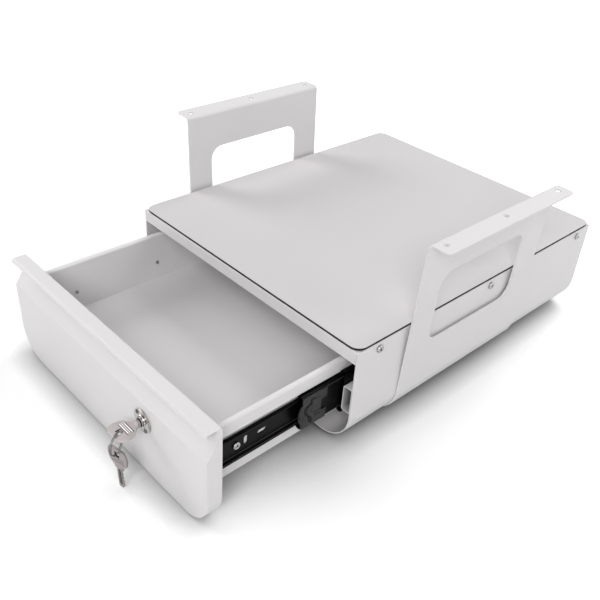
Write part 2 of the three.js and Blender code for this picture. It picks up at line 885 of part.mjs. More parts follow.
for (const [side, hand] of [["left", -1], ["right", 1]]) {
  const fixed = new THREE.Group();
  fixed.scale.x = hand;
  content.add(fixed);
  place(fixed, side + "_hanger_bracket", hangerBracket(), "paint");
  place(fixed, side + "_slide_spacer", slideSpacer(), "paint");
  place(fixed, side + "_cabinet_rail", cabinetRail(), "railCoat");
  place(fixed, side + "_outer_ball_cage", outerBallCage(), "brightSteel");
  place(fixed, side + "_intermediate_rail", intermediateRail(), "railCoat");
  place(fixed, side + "_rail_end_latch", railEndLatch(), "latchPlastic");
  place(fixed, side + "_inner_ball_cage", innerBallCage(), "brightSteel");
  coverScrewPlaces.forEach((y, i) => {
    const name = side + "_cover_screw_" + ["front", "middle", "rear"][i];
    const screw = place(fixed, name, panScrew(coverScrew), "brightSteel");
    screw.rotation.z = -Math.PI / 2;
    screw.position.set(outerHalf + seatGap, y, housingHeight - coverScrewDrop);
  });
  footScrewPlaces.forEach((y, i) => {
    const name = side + "_foot_screw_" + ["front", "rear"][i];
    const screw = place(fixed, name, flatScrew(footScrew), "brightSteel");
    screw.rotation.x = -Math.PI / 2;
    screw.position.set(footScrewAcross, y, footTop - bracketSheet);
  });
  const sliding = new THREE.Group();
  sliding.scale.x = hand;
  drawer.add(sliding);
  place(sliding, side + "_drawer_rail", drawerRail(), "railCoat");
  [hand > 0 ? railHoleFront : crossSlotSetback, railHoleRear].forEach((y, i) => {
    const name = side + "_rail_screw_" + ["front", "rear"][i];
    const screw = place(sliding, name, panScrew(railScrew), "brightSteel");
    screw.rotation.z = -Math.PI / 2;
    screw.position.set(slideInner + railSheet + seatGap, drawerRailStart + y, slideHeight);
  });
}

const lock = new THREE.Group();
lock.position.set(lockAcross, rosetteSeat, lockHeight);
drawer.add(lock);
place(lock, "lock_body", lockBody(), "chrome");
rosetteScrewPlaces.forEach(([x, z], i) => {
  const screw = place(lock, "rosette_screw_" + ["upper", "lower"][i], panScrew(rosetteScrew), "brightSteel");
  screw.rotation.x = Math.PI;
  screw.position.set(x, -rosetteRim - 2 * seatGap, z);
});
place(lock, "lock_plug", lockPlug(), "chrome");
place(lock, "lock_cam", lockCam(), "brightSteel");
const camFixing = place(lock, "cam_screw", panScrew(camScrew), "brightSteel");
camFixing.position.y = fasciaDepth + camFront + camSheet + seatGap;

const bowTip = -noseLength - seatGap - bowLength - neckLength;
const keyInLock = place(lock, "lock_key", doorKey(), "keyNickel");
keyInLock.position.y = bowTip;

// The ring hangs over the bow's margin, and the spare key hangs from the ring's lowest point.
const halfMargin = bowMargin / 2;
const ringInside = ringRadius - ringWire - seatGap;
const ringMiddle = keySheet / 2 - Math.sqrt(ringInside ** 2 - (halfMargin / Math.cos(ringYaw)) ** 2);
const hanging = new THREE.Group();
hanging.position.set(ringShift, bowTip + halfMargin, ringMiddle);
hanging.rotation.z = ringYaw;
lock.add(hanging);
const coil = new THREE.TorusGeometry(ringRadius, ringWire, ringSides, ringSteps).scale(1, 1, ringFlat);
const ring = place(hanging, "key_ring", coil, "brightSteel");
ring.rotation.y = Math.PI / 2;
const pendant = new THREE.Group();
pendant.position.z = -ringRadius;
pendant.rotation.set(0, spareTilt, spareYaw - ringYaw, "ZYX");
hanging.add(pendant);
const spare = place(pendant, "spare_key", doorKey(), "keyNickel");
spare.rotation.x = -Math.PI / 2;
spare.position.z = ringWire + seatGap + bowMargin;

// The origin is the middle of the safe's lowest level.
content.updateMatrixWorld(true);
const box = new THREE.Box3().setFromObject(content, true);
const centre = box.getCenter(new THREE.Vector3());
content.position.set(-centre.x, -centre.y, -box.min.z);

export default safe;
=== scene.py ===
import json
import math
import bpy
import bmesh
from mathutils import Matrix, Vector


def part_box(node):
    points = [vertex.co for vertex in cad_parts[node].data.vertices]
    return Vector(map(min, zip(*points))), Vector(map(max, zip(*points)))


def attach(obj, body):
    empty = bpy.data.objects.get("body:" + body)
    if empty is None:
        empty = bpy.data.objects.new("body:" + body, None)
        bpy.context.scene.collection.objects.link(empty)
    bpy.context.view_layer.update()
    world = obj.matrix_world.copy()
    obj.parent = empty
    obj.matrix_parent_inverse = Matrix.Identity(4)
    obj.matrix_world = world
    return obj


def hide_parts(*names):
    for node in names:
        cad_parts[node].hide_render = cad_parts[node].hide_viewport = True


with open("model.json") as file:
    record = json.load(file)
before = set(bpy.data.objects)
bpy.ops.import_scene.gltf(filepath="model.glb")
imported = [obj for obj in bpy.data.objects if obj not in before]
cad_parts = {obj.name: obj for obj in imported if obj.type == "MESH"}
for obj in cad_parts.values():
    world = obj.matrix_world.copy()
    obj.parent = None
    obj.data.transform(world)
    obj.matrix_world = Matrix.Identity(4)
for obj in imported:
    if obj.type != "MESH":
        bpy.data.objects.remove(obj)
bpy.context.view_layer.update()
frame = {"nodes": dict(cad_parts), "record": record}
cadNodes = frame["nodes"]
bodies = frame["record"]["behaviour"]["bodies"]
nodeBody = {node: body for body, members in bodies.items() for node in members}
mm = 0.001  # the frame is in metres
print("frame loaded:", len(cadNodes), "nodes")

# Camera, lights and floor

cameraSetup = {
    "place": (0.54444, -0.558926, 0.57528),
    "turnDegrees": (55.704, -3.6255, 47.209),
    "lens": 45.629,
    "sensor": 36.0,
    "clipStart": 0.01,
}

lampSetup = {
    # name: (place, aimed at, width, height, watts)
    "cameraSideSoftbox": ((1.7, -2.2, 2.1), (0.0, -0.1, 0.1), 1.6, 1.4, 66.5),
    "leftSoftbox": ((-2.4, -1.0, 1.6), (0.0, -0.1, 0.1), 1.6, 1.4, 40.0),
    "rearSoftbox": ((0.0, 1.6, 2.2), (0.0, -0.1, 0.1), 1.6, 1.4, 30.0),
    "rightRearSoftbox": ((2.2, 1.6, 1.4), (0.0, -0.1, 0.1), 1.6, 1.4, 11.0),
}

studio = {
    # the sky's light grows from the first height to the second, as shares of straight up
    "skyHeights": (-0.2, 0.7),
    "skyLevels": (0.0, 0.22),
    "floorColour": "#fafafa",
    "floorSize": 12.0,
    # the floor's own light grows with the distance in metres from its centre
    "floorLift": 0.9,
    "liftCentre": (-0.09, 0.0, 0.0),
    "liftFrom": 0.26,
    "liftTo": 0.85,
    # reaches in metres; a lean is the side on which the floor looks for what shades it
    "contactReach": 0.032,
    "contactLean": (0.25, 0.35, 1.0),
    "contactDepth": 0.75,
    "nookReach": 0.18,
    "nookLeans": ((-0.5, -1.2, 0.4), (1.0, 0.9, 0.4)),
    "nookDepth": 2.8,
    "shadeSamples": 12,
}

cardSetup = {
    # name: (place, aimed at, width, height)
    "frontCard": ((0.3, -2.4, 0.22), (0.3, 0.0, 0.22), 3.6, 0.44),
    "rightCard": ((2.6, 0.0, 0.2), (0.0, 0.0, 0.2), 3.6, 0.4),
}


def srgb(text, alpha=1.0):
    parts = [int(text[i:i + 2], 16) / 255 for i in (1, 3, 5)]
    linear = [p / 12.92 if p <= 0.04045 else ((p + 0.055) / 1.055) ** 2.4 for p in parts]
    return (*linear, alpha)


# adds a node: sockets by name or number, links from other sockets, and its own settings
def addNode(tree, kind, sockets=None, links=None, **settings):
    node = tree.nodes.new("ShaderNode" + kind)
    for name, value in settings.items():
        setattr(node, name, value)
    for name, value in (sockets or {}).items():
        node.inputs[name].default_value = value
    for name, source in (links or {}).items():
        tree.links.new(source, node.inputs[name])
    return node


def emptyMaterial(name):
    material = bpy.data.materials.new(name)
    material.use_nodes = True
    material.node_tree.nodes.clear()
    return material, material.node_tree


def makeCamera():
    data = bpy.data.cameras.new("photoCamera")
    data.sensor_fit = "HORIZONTAL"
    data.sensor_width = cameraSetup["sensor"]
    data.lens = cameraSetup["lens"]
    data.clip_start = cameraSetup["clipStart"]
    camera = bpy.data.objects.new("photoCamera", data)
    camera.location = cameraSetup["place"]
    camera.rotation_euler = [math.radians(a) for a in cameraSetup["turnDegrees"]]
    bpy.context.scene.collection.objects.link(camera)
    bpy.context.scene.camera = camera


def makeLamps():
    for name, (place, target, width, height, watts) in lampSetup.items():
        data = bpy.data.lights.new(name, "AREA")
        data.shape = "RECTANGLE"
        data.size, data.size_y = width, height
        data.energy = watts
        lamp = bpy.data.objects.new(name, data)
        lamp.location = place
        lamp.rotation_euler = (Vector(target) - Vector(place)).to_track_quat("-Z", "Y").to_euler()
        bpy.context.scene.collection.objects.link(lamp)


# one for rays from the camera, and for those that a shiny or clear surface sends on
def seenDirectly(tree):
    path = addNode(tree, "LightPath")
    either = addNode(tree, "Math", links={0: path.outputs["Is Camera Ray"], 1: path.outputs["Is Glossy Ray"]},
                     operation="MAXIMUM")
    either = addNode(tree, "Math", links={0: either.outputs[0], 1: path.outputs["Is Transmission Ray"]},
                     operation="MAXIMUM")
    return either.outputs[0]


# white to the eye and in reflections, a plain grey-white dome as a light
def makeWorld():
    world = bpy.data.worlds.new("paleStudio")
    bpy.context.scene.world = world
    world.use_nodes = True
    tree = world.node_tree
    tree.nodes.clear()
    place = addNode(tree, "TexCoord")
    height = addNode(tree, "SeparateXYZ", links={0: place.outputs["Generated"]})
    (lowest, highest), (dim, full) = studio["skyHeights"], studio["skyLevels"]
    level = addNode(tree, "MapRange", {1: lowest, 2: highest, 3: dim, 4: full}, {0: height.outputs["Z"]})
    light = addNode(tree, "Background", {"Color": (1, 1, 1, 1)}, {"Strength": level.outputs[0]})
    seen = addNode(tree, "Background", {"Color": (1, 1, 1, 1), "Strength": 1.0})
    both = addNode(tree, "MixShader", links={0: seenDirectly(tree), 1: light.outputs[0], 2: seen.outputs[0]})
    addNode(tree, "OutputWorld", links={"Surface": both.outputs[0]})


# how open the floor is towards one side, from 0 to 1
def openness(tree, lean, reach):
    side = addNode(tree, "CombineXYZ", dict(enumerate(lean)))
    shade = addNode(tree, "AmbientOcclusion", {"Distance": reach}, {"Normal": side.outputs[0]},
                    samples=studio["shadeSamples"])
    return shade.outputs["AO"]


# the floor keeps the soft shadow and darkens close to the object, most in the nook between the open drawer
# and the housing's front; further out a light of its own lifts it to white for the eye
def makeFloor():
    material, tree = emptyMaterial("paleFloor")
    near = addNode(tree, "Math", {1: studio["contactDepth"]},
                   {0: openness(tree, studio["contactLean"], studio["contactReach"])}, operation="POWER")
    shut = []
    for lean in studio["nookLeans"]:
        free = openness(tree, lean, studio["nookReach"])
        shut.append(addNode(tree, "Math", {0: 1.0}, {1: free}, operation="SUBTRACT"))
    nook = addNode(tree, "Math", links={0: shut[0].outputs[0], 1: shut[1].outputs[0]}, operation="MULTIPLY")
    nook = addNode(tree, "Math", {1: -studio["nookDepth"], 2: 1.0}, {0: nook.outputs[0]},
                   operation="MULTIPLY_ADD", use_clamp=True)
    near = addNode(tree, "Math", links={0: near.outputs[0], 1: nook.outputs[0]}, operation="MULTIPLY")
    colour = addNode(tree, "VectorMath", {0: srgb(studio["floorColour"])[:3]}, {1: near.outputs[0]},
                     operation="MULTIPLY")
    grain = addNode(tree, "BsdfDiffuse", links={"Color": colour.outputs[0]})
    place = addNode(tree, "TexCoord")
    far = addNode(tree, "VectorMath", {1: studio["liftCentre"]}, {0: place.outputs["Object"]},
                  operation="DISTANCE")
    nearest, furthest, most = studio["liftFrom"], studio["liftTo"], studio["floorLift"]
    far = addNode(tree, "MapRange", {1: nearest, 2: furthest, 3: 0.0, 4: most}, {0: far.outputs["Value"]})
    level = addNode(tree, "Math", links={0: far.outputs[0], 1: seenDirectly(tree)}, operation="MULTIPLY")
    level = addNode(tree, "Math", links={0: level.outputs[0], 1: near.outputs[0]}, operation="MULTIPLY")
    lift = addNode(tree, "Emission", {"Color": (1, 1, 1, 1)}, {"Strength": level.outputs[0]})
    both = addNode(tree, "AddShader", links={0: grain.outputs[0], 1: lift.outputs[0]})
    addNode(tree, "OutputMaterial", links={"Surface": both.outputs[0]})
    bm = bmesh.new()
    bmesh.ops.create_grid(bm, x_segments=1, y_segments=1, size=studio["floorSize"] / 2)
    mesh = bpy.data.meshes.new("floor")
    bm.to_mesh(mesh)
    bm.free()
    mesh.materials.append(material)
    floor = bpy.data.objects.new("floor", mesh)
    bpy.context.scene.collection.objects.link(floor)


# black cards, seen only in reflections: they draw the dark bands on chrome, screws and rails
def makeCards():
    material, tree = emptyMaterial("blackCard")
    black = addNode(tree, "BsdfDiffuse", {"Color": srgb("#050505")})
    addNode(tree, "OutputMaterial", links={"Surface": black.outputs[0]})
    for name, (place, target, width, height) in cardSetup.items():
        bm = bmesh.new()
        bmesh.ops.create_grid(bm, x_segments=1, y_segments=1, size=0.5)
        bmesh.ops.scale(bm, vec=(width, height, 1), verts=bm.verts)
        turn = (Vector(target) - Vector(place)).to_track_quat("Z", "Y").to_matrix().to_4x4()
        bmesh.ops.transform(bm, matrix=Matrix.Translation(place) @ turn, verts=bm.verts)
        mesh = bpy.data.meshes.new(name)
        bm.to_mesh(mesh)
        bm.free()
        mesh.materials.append(material)
        card = bpy.data.objects.new(name, mesh)
        bpy.context.scene.collection.objects.link(card)
        card.visible_camera = card.visible_diffuse = card.visible_shadow = card.visible_transmission = False


makeCamera()
makeLamps()
makeWorld()
makeFloor()
makeCards()
bpy.context.scene.view_settings.view_transform = "Standard"
print("camera, lamps, floor and cards made")

# Materials


# object coordinates in metres, so a pattern's scale is one over its real size
def noiseOf(tree, sizeMm, detail=2.0, stretch=(1, 1, 1)):
    place = addNode(tree, "TexCoord")
    mapped = addNode(tree, "Mapping", {"Scale": stretch}, {"Vector": place.outputs["Object"]})
    return addNode(tree, "TexNoise", {"Scale": 1 / (sizeMm * mm), "Detail": detail},
                   {"Vector": mapped.outputs[0]})


def tinted(tree, source, low, high, dark, light):
    ramp = addNode(tree, "ValToRGB", links={0: source})
    ramp.color_ramp.elements[0].position = low
    ramp.color_ramp.elements[0].color = srgb(dark)
    ramp.color_ramp.elements[1].position = high
    ramp.color_ramp.elements[1].color = srgb(light)
    return ramp


def ranged(tree, source, low, high):
    return addNode(tree, "MapRange", {1: 0.3, 2: 0.7, 3: low, 4: high}, {0: source})


def surface(tree, sockets, links):
    shader = addNode(tree, "BsdfPrincipled", sockets, links)
    addNode(tree, "OutputMaterial", links={"Surface": shader.outputs[0]})


# powder coat, baked on: the fine orange peel breaks its soft highlights
def powderCoat(name, dark, light, peel):
    material, tree = emptyMaterial(name)
    cloud = noiseOf(tree, 140, 3.0)
    colour = tinted(tree, cloud.outputs[0], 0.3, 0.7, dark, light)
    orangePeel = noiseOf(tree, peel["size"], 2.0)
    rough, spread = peel["rough"], peel["spread"]
    rough = ranged(tree, orangePeel.outputs[0], rough - spread, rough + spread)
    bump = addNode(tree, "Bump", {"Strength": peel["strength"], "Distance": peel["height"] * mm},
                   {"Height": orangePeel.outputs[0]})
    surface(tree, {"IOR": 1.5, "Specular IOR Level": 0.45},
            {"Base Color": colour.outputs[0], "Roughness": rough.outputs[0], "Normal": bump.outputs[0]})
    return material


# the peel is really about 1 mm, and drawn a little coarser so that it shows; sizes in mm
whiteCoat = powderCoat("whitePowderCoat", "#d8d6d7", "#dbd9da",
                       {"size": 1.8, "rough": 0.46, "spread": 0.05, "strength": 0.25, "height": 0.03})


# laminate with a very fine matt grain: the pad's face looks flat and dry
def matLaminate():
    material, tree = emptyMaterial("matLaminateFace")
    cloud = noiseOf(tree, 180, 2.0)
    colour = tinted(tree, cloud.outputs[0], 0.3, 0.7, "#cac7c8", "#cecbcc")
    grain = noiseOf(tree, 0.9, 3.0)
    bump = addNode(tree, "Bump", {"Strength": 0.35, "Distance": 0.03 * mm}, {"Height": grain.outputs[0]})
    rough = ranged(tree, grain.outputs[0], 0.55, 0.68)
    surface(tree, {"IOR": 1.49, "Specular IOR Level": 0.35},
            {"Base Color": colour.outputs[0], "Roughness": rough.outputs[0], "Normal": bump.outputs[0]})
    return material


# closed cell rubber: the cut edge is dull and slightly pitted
def rubberCore():
    material, tree = emptyMaterial("blackRubberCore")
    pits = noiseOf(tree, 0.8, 4.0)
    colour = tinted(tree, pits.outputs[0], 0.35, 0.7, "#0c0c0d", "#1d1d1e")
    bump = addNode(tree, "Bump", {"Strength": 0.5, "Distance": 0.06 * mm}, {"Height": pits.outputs[0]})
    surface(tree, {"Roughness": 0.82, "IOR": 1.52},
            {"Base Color": colour.outputs[0], "Normal": bump.outputs[0]})
    return material


# electrocoated steel with a film of slide grease: near black, with streaks along the rail
def electroCoat(name, dark, light, gloss):
    material, tree = emptyMaterial(name)
    streaks = noiseOf(tree, 2.0, 3.0, (1, 0.06, 1))
    colour = tinted(tree, streaks.outputs[0], 0.3, 0.72, dark, light)
    rough = ranged(tree, streaks.outputs[0], 0.26, 0.46)
    bump = addNode(tree, "Bump", {"Strength": 0.2, "Distance": 0.03 * mm}, {"Height": streaks.outputs[0]})
    surface(tree, {"IOR": 1.5, "Specular IOR Level": gloss},
            {"Base Color": colour.outputs[0], "Roughness": rough.outputs[0], "Normal": bump.outputs[0]})
    return material


# moulded acetal: dark grey with a faint spark-eroded texture
def mouldedAcetal():
    material, tree = emptyMaterial("darkMouldedAcetal")
    spark = noiseOf(tree, 0.9, 3.0)
    colour = tinted(tree, spark.outputs[0], 0.3, 0.7, "#1b1b1c", "#272728")
    bump = addNode(tree, "Bump", {"Strength": 0.3, "Distance": 0.04 * mm}, {"Height": spark.outputs[0]})
    surface(tree, {"Roughness": 0.42, "IOR": 1.48, "Specular IOR Level": 0.28},
            {"Base Color": colour.outputs[0], "Normal": bump.outputs[0]})
    return material


# plated metal: colour, roughness spread and the length of its brush marks differ
def platedMetal(name, dark, light, rough, markMm, stretch=(1, 1, 1), height=0.02):
    material, tree = emptyMaterial(name)
    marks = noiseOf(tree, markMm, 3.0, stretch)
    colour = tinted(tree, marks.outputs[0], 0.3, 0.7, dark, light)
    spread = ranged(tree, marks.outputs[0], rough * 0.75, rough * 1.25)
    bump = addNode(tree, "Bump", {"Strength": 0.25, "Distance": height * mm}, {"Height": marks.outputs[0]})
    surface(tree, {"Metallic": 1.0},
            {"Base Color": colour.outputs[0], "Roughness": spread.outputs[0], "Normal": bump.outputs[0]})
    return material


# inside a box section: painted shade, pale at the cut end and dark further in
def spacerShadeCoat(frontY, rearY):
    material, tree = emptyMaterial("spacerInsidePaintedShade")
    place = addNode(tree, "TexCoord")
    along = addNode(tree, "SeparateXYZ", links={0: place.outputs["Object"]})
    middle, half = (frontY + rearY) / 2, (rearY - frontY) / 2
    out = addNode(tree, "Math", {1: middle}, {0: along.outputs["Y"]}, operation="SUBTRACT")
    out = addNode(tree, "Math", links={0: out.outputs[0]}, operation="ABSOLUTE")
    litUntil = 14 * mm
    depth = addNode(tree, "MapRange", {1: half - litUntil, 2: half, 3: 0.0, 4: 1.0}, {0: out.outputs[0]})
    colour = tinted(tree, depth.outputs[0], 0.0, 1.0, "#2a2929", "#b4b2b3")
    surface(tree, {"Roughness": 0.6, "IOR": 1.5}, {"Base Color": colour.outputs[0]})
    return material


padFace = matLaminate()
padCore = rubberCore()
railCoat = electroCoat("blackElectrocoat", "#030303", "#080809", 0.09)
# painted highlight: thin light grey lines along the rails
railHighlight = electroCoat("paintedRailHighlight", "#39393b", "#4b4b4d", 0.3)
# painted shade in grooves and on cut faces, dull as the coat on the rails
paintedShade = electroCoat("paintedDarkShade", "#171616", "#2b2928", 0.1)
latchPlastic = mouldedAcetal()
# a soft grey shine, slightly cloudy, and a darker one on the small rosette screws
zincPlate = platedMetal("brightZincPlate", "#8f8f90", "#b9b9b8", 0.24, 1.2)
darkZinc = platedMetal("darkerZincPlate", "#4c4c4d", "#727273", 0.3, 1.2)
# bright reflections, a little soft
chromePlate = platedMetal("polishedChromePlate", "#9a9897", "#c6c4c2", 0.16, 2.5)
# warm and satin from tumbling; the ridges get a brighter plate as a painted highlight, and the spare key a
# darker one as painted shade
keyNickel = platedMetal("tumbledNickelPlate", "#b9b2b1", "#cbc4c3", 0.5, 0.7)
ridgeHighlight = platedMetal("paintedRidgeHighlight", "#e6e2e0", "#f2efed", 0.5, 0.7)
# the spare key's darker plate is painted shade
spareKeyShade = platedMetal("spareKeyPaintedShade", "#938c8c", "#a8a1a1", 0.4, 0.7)
# dull, with its grain along the strip that it was rolled from
cageSteel = platedMetal("dullZincStrip", "#8d8c88", "#b5b4ae", 0.42, 1.0, (1, 0.1, 1))
# grey with fine draw marks
wireSteel = platedMetal("hardenedSteelWire", "#4a4a4b", "#7c7c7c", 0.3, 0.8)
# painted shade for the inside of the spacers
spacerLow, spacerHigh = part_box("left_slide_spacer")
spacerInsideShade = spacerShadeCoat(spacerLow[1], spacerHigh[1])
print("materials made")

# Pieces


def objectFrom(bm, name, material, body, replaced=(), smoothDegrees=32):
    mesh = bpy.data.meshes.new(name)
    bm.to_mesh(mesh)
    bm.free()
    mesh.materials.clear()
    mesh.materials.append(material)
    mesh.polygons.foreach_set("use_smooth", [True] * len(mesh.polygons))
    mesh.set_sharp_from_angle(angle=math.radians(smoothDegrees))
    piece = bpy.data.objects.new(name, mesh)
    bpy.context.scene.collection.objects.link(piece)
    flat = piece.modifiers.new("flatFacesStayFlat", "WEIGHTED_NORMAL")
    flat.mode, flat.weight, flat.keep_sharp = "FACE_AREA", 100, True
    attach(piece, body)
    if replaced:
        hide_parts(*replaced)
    return piece


meshCleaning = {"mergeMm": 0.002, "spunMergeMm": 0.001, "flatDegrees": 0.6, "sharpDegrees": 38}


# a copy of a node with its triangles joined into whole faces and its sharp edges broken
def softMesh(node, edgeMm, segments=2):
    bm = bmesh.new()
    bm.from_mesh(cadNodes[node].data)
    flat, sharpest = math.radians(meshCleaning["flatDegrees"]), math.radians(meshCleaning["sharpDegrees"])
    bmesh.ops.remove_doubles(bm, verts=bm.verts, dist=meshCleaning["mergeMm"] * mm)
    bmesh.ops.dissolve_limit(bm, angle_limit=flat, verts=bm.verts, edges=bm.edges)
    sharp = [e for e in bm.edges if len(e.link_faces) == 2 and e.calc_face_angle() > sharpest]
    bmesh.ops.bevel(bm, geom=sharp, offset=edgeMm * mm, offset_type="OFFSET", segments=segments, profile=0.5,
                    affect="EDGES", material=-1, clamp_overlap=True)
    return bm


def softened(node, material, edgeMm):
    return objectFrom(softMesh(node, edgeMm), node + "_skin", material, nodeBody[node], [node])


sheetEdges = {
    # node: edge radius in mm
    "housing_shell": 0.35,
    "rear_panel": 0.3,
    "top_cover": 0.35,
    "left_hanger_bracket": 0.5,
    "right_hanger_bracket": 0.5,
    "drawer_tray": 0.25,
    "drawer_fascia": 0.35,
}
for node, edge in sheetEdges.items():
    softened(node, whiteCoat, edge)


spacerDetail = {"edge": 0.3, "inside": 0.9}  # edge radius, and how deep a face lies to count as inside, in mm


# a box section is white outside, and its inside faces get painted shade, pale near its ends and dark further
# in
def spacerWithInsideShade(node):
    piece = softened(node, whiteCoat, spacerDetail["edge"])
    piece.data.materials.append(spacerInsideShade)
    low, high = [Vector(corner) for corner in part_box(node)]
    middle = (low + high) / 2
    for face in piece.data.polygons:
        outward = Vector((face.center.x - middle.x, 0, face.center.z - middle.z))
        above, below = high - face.center, face.center - low
        deep = min(above.x, below.x, above.z, below.z) > spacerDetail["inside"] * mm
        # faces deep inside the box get the painted shade
        if deep and face.normal.dot(outward) < 0 and abs(face.normal.y) < 0.5:
            face.material_index = 1


spacerWithInsideShade("left_slide_spacer")
spacerWithInsideShade("right_slide_spacer")
softened("shelf_pad", padFace, 0.25)
softened("shelf_pad_core", padCore, 0.2)
print("sheet metal softened")

railEdges = {
    # node: edge radius in mm; the broken edges catch thin lines of light along the rails
    "cabinet_rail": 0.2,
    "intermediate_rail": 0.25,
    "drawer_rail": 0.25,
}
for node, edge in railEdges.items():
    for side in ("left_", "right_"):
        softened(side + node, railCoat, edge)


# a round bar along a line of points, closed with flat ends
def barAlong(bm, points, radius, sides=12):
    points = [Vector(point) for point in points]
    side = (points[1] - points[0]).orthogonal().normalized()
    rings = []
    for i, point in enumerate(points):
        ahead = (points[min(i + 1, len(points) - 1)] - points[max(i - 1, 0)]).normalized()
        side = (side - ahead * side.dot(ahead)).normalized()
        up = ahead.cross(side)
        rings.append([bm.verts.new(point + (side * math.cos(a) + up * math.sin(a)) * radius)
                      for a in [math.tau * k / sides for k in range(sides)]])
    for near, far in zip(rings, rings[1:]):
        for k in range(sides):
            bm.faces.new((near[k - 1], near[k], far[k], far[k - 1]))
    bm.faces.new(rings[0])
    bm.faces.new(rings[-1])
    bmesh.ops.recalc_face_normals(bm, faces=bm.faces)


# where the rails' painted highlight lines lie
railHighlightPlaces = {
    # node: lines as places inward from the rail's outer side and in from its top and bottom, in mm
    "drawer_rail": ((1.0, 1.2), (4.2, 3.3)),
    "intermediate_rail": ((0.12, 2.1),),
}
railHighlightRadius = 0.3


# thin lines of painted highlight along the black rails, beside the ridges that the balls run beside
def railHighlightLines(node, hand, lines):
    low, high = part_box(node)
    outer = max((low[0], high[0]), key=abs)
    bm = bmesh.new()
    for inward, edge in lines:
        for level in (low[2] + edge * mm, high[2] - edge * mm):
            side = outer - hand * inward * mm
            barAlong(bm, [(side, low[1] + mm, level), (side, high[1] - mm, level)], railHighlightRadius * mm, 8)
    objectFrom(bm, node + "_paintedHighlight", railHighlight, nodeBody[node])


for side, hand in (("left_", -1), ("right_", 1)):
    for node, lines in railHighlightPlaces.items():
        railHighlightLines(side + node, hand, lines)

for node, finish in {"left_outer_ball_cage": cageSteel, "right_outer_ball_cage": cageSteel,
                     "left_inner_ball_cage": cageSteel, "right_inner_ball_cage": cageSteel,
                     "lock_cam": zincPlate, "cam_screw": zincPlate}.items():
    cadNodes[node].data.materials.clear()
    cadNodes[node].data.materials.append(finish)
print("rails softened")


# Rail end latches: plate with raised ribs, a finger pad on its tongue, and the gaps round the tongue as dark
# lines, partly the black rail behind and partly painted shade

latchDetail = {
    # in mm: sink is how far the plate's face lies under the solid's,
    # and rearTrim how much shorter its rear is
    "edge": 0.25,
    "sink": 0.6,
    "lipReach": 5.0,
    "rearFrom": 26.0,
    "rearTrim": 3.0,
    # a bar's radius, then places along the rail from the plate's front and up from its middle, in mm
    "ribs": (
        (0.5, (1.2, 11.6), (-2.4, 10.6), (-3.6, 6.4), (-4.4, 2.6), (-4.3, -2.2), (-3.6, -5.0), (-1.6, -8.6),
         (0.6, -13.4)),
        (0.45, (10.4, 7.6), (7.0, 4.4), (6.0, 1.6), (6.8, -1.4)),
        (0.4, (4.4, -2.4), (2.2, -3.6), (0.6, -6.0), (0.9, -9.4)),
    ),
    # dark lines over the gaps: the black rail behind them, and painted shade
    "shadedGaps": (
        (1.0, (16.6, 14.2), (11.9, 14.2), (11.0, 10.0), (7.8, 8.4), (4.0, 6.2), (3.1, 2.9), (4.6, -0.8),
         (7.7, -5.0), (10.2, -11.5), (11.4, -16.0)),
        (0.65, (-1.6, 10.4), (-2.9, 6.4), (-3.3, 2.0), (-2.9, -3.6), (-1.8, -7.0)),
        (0.6, (14.8, -5.4), (24.4, -5.0)),
    ),
    "gapRise": 0.3,
    "pad": ((12.9, 24.6), (-3.2, 12.2)),
    "padRise": 0.35,
    "padEdge": 0.3,
}


def dressedLatch(node, hand):
    low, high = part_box(node)
    front, middle = low[1] + latchDetail["lipReach"] * mm, (low[2] + high[2]) / 2
    inner, outer = sorted((low[0], high[0]), key=abs)
    sunk = outer - hand * latchDetail["sink"] * mm
    bm = softMesh(node, latchDetail["edge"])
    for v in bm.verts:
        if abs(v.co.x) > abs(inner + outer) / 2:
            v.co.x -= hand * latchDetail["sink"] * mm
        if v.co.y > front + latchDetail["rearFrom"] * mm:
            v.co.y -= latchDetail["rearTrim"] * mm
    for radius, *places in latchDetail["ribs"]:
        barAlong(bm, [(sunk, front + along * mm, middle + up * mm) for along, up in places], radius * mm, 10)
    (near, far), (bottom, top) = latchDetail["pad"]
    made = bmesh.ops.create_cube(bm, size=1)["verts"]
    padSize = (2 * latchDetail["padRise"] * mm, (far - near) * mm, (top - bottom) * mm)
    padMiddle = (sunk, front + (near + far) / 2 * mm, middle + (bottom + top) / 2 * mm)
    bmesh.ops.scale(bm, vec=padSize, verts=made)
    bmesh.ops.translate(bm, vec=padMiddle, verts=made)
    corners = list({e for v in made for e in v.link_edges})
    bmesh.ops.bevel(bm, geom=corners, offset=latchDetail["padEdge"] * mm, segments=2, profile=0.5,
                    affect="EDGES", material=-1)
    objectFrom(bm, node + "_skin", latchPlastic, nodeBody[node], [node])
    # the tongue's gaps as flat dark lines on the plate: the black rail shows behind them, and the lines also
    # paint the shade in the gaps
    shadedGaps = bmesh.new()
    for radius, *places in latchDetail["shadedGaps"]:
        barAlong(shadedGaps, [(0, front + along * mm, middle + up * mm) for along, up in places], radius * mm, 10)
    widest = max(radius for radius, *places in latchDetail["shadedGaps"])
    bmesh.ops.scale(shadedGaps, vec=(latchDetail["gapRise"] / widest, 1, 1), verts=shadedGaps.verts)
    bmesh.ops.translate(shadedGaps, vec=(sunk, 0, 0), verts=shadedGaps.verts)
    objectFrom(shadedGaps, node + "_gaps", railCoat, nodeBody[node])


dressedLatch("left_rail_end_latch", -1)
dressedLatch("right_rail_end_latch", 1)
print("latches made")


